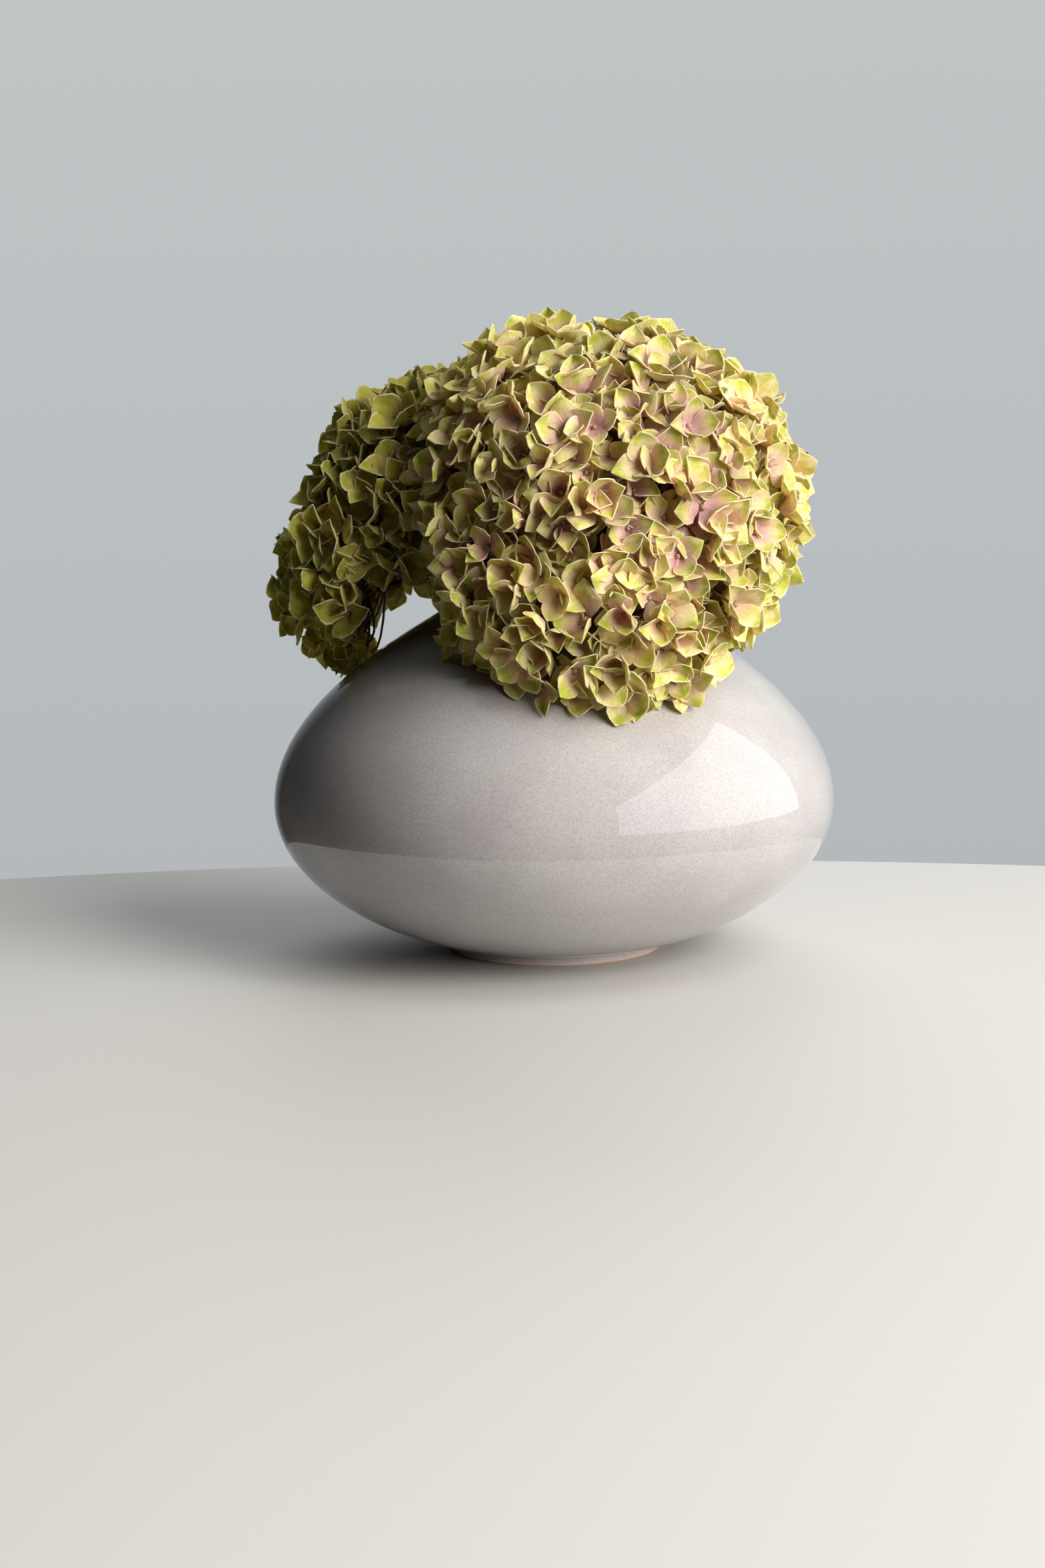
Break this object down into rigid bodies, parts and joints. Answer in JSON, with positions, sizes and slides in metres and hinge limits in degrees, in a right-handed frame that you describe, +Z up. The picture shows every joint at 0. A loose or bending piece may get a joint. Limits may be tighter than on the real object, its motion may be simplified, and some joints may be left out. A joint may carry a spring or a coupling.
{
  "type": "hydrangeas in a vase",
  "caption": "Two cut mophead hydrangea heads of papery four-petalled florets, on woody stems that lean in a low, oval glazed vase with a narrow mouth and a foot ring.",
  "frame": {"origin": "centre of the vase's foot ring, on the surface it stands on", "axes": "+Z up along the vase's axis; -Y the front, where the larger flower head hangs over the vase's shoulder; +X to the right seen from the front"},
  "size_m": [0.2207, 0.22, 0.2518],
  "materials": {
    "vase_glaze": "gloss",
    "right_sepals": "matte",
    "left_sepals": "matte",
    "branches": "matte",
    "stems": "matte"
  },
  "bodies": {
    "root": {"left_branches": "branches", "left_florets_01": "left_sepals", "left_florets_02": "left_sepals", "left_florets_03": "left_sepals", "left_florets_04": "left_sepals", "left_florets_05": "left_sepals", "left_florets_06": "left_sepals", "left_florets_07": "left_sepals", "left_florets_08": "left_sepals", "left_florets_09": "left_sepals", "left_florets_10": "left_sepals", "left_florets_11": "left_sepals", "left_florets_12": "left_sepals", "left_florets_13": "left_sepals", "left_florets_14": "left_sepals", "left_florets_15": "left_sepals", "left_florets_16": "left_sepals", "left_florets_17": "left_sepals", "left_florets_18": "left_sepals", "left_stem": "stems", "right_branches": "branches", "right_florets_01": "right_sepals", "right_florets_02": "right_sepals", "right_florets_03": "right_sepals", "right_florets_04": "right_sepals", "right_florets_05": "right_sepals", "right_florets_06": "right_sepals", "right_florets_07": "right_sepals", "right_florets_08": "right_sepals", "right_florets_09": "right_sepals", "right_florets_10": "right_sepals", "right_florets_11": "right_sepals", "right_florets_12": "right_sepals", "right_florets_13": "right_sepals", "right_florets_14": "right_sepals", "right_florets_15": "right_sepals", "right_florets_16": "right_sepals", "right_florets_17": "right_sepals", "right_florets_18": "right_sepals", "right_florets_19": "right_sepals", "right_florets_20": "right_sepals", "right_florets_21": "right_sepals", "right_florets_22": "right_sepals", "right_florets_23": "right_sepals", "right_florets_24": "right_sepals", "right_florets_25": "right_sepals", "right_stem": "stems", "vase": "vase_glaze"}
  },
  "joints": []
}
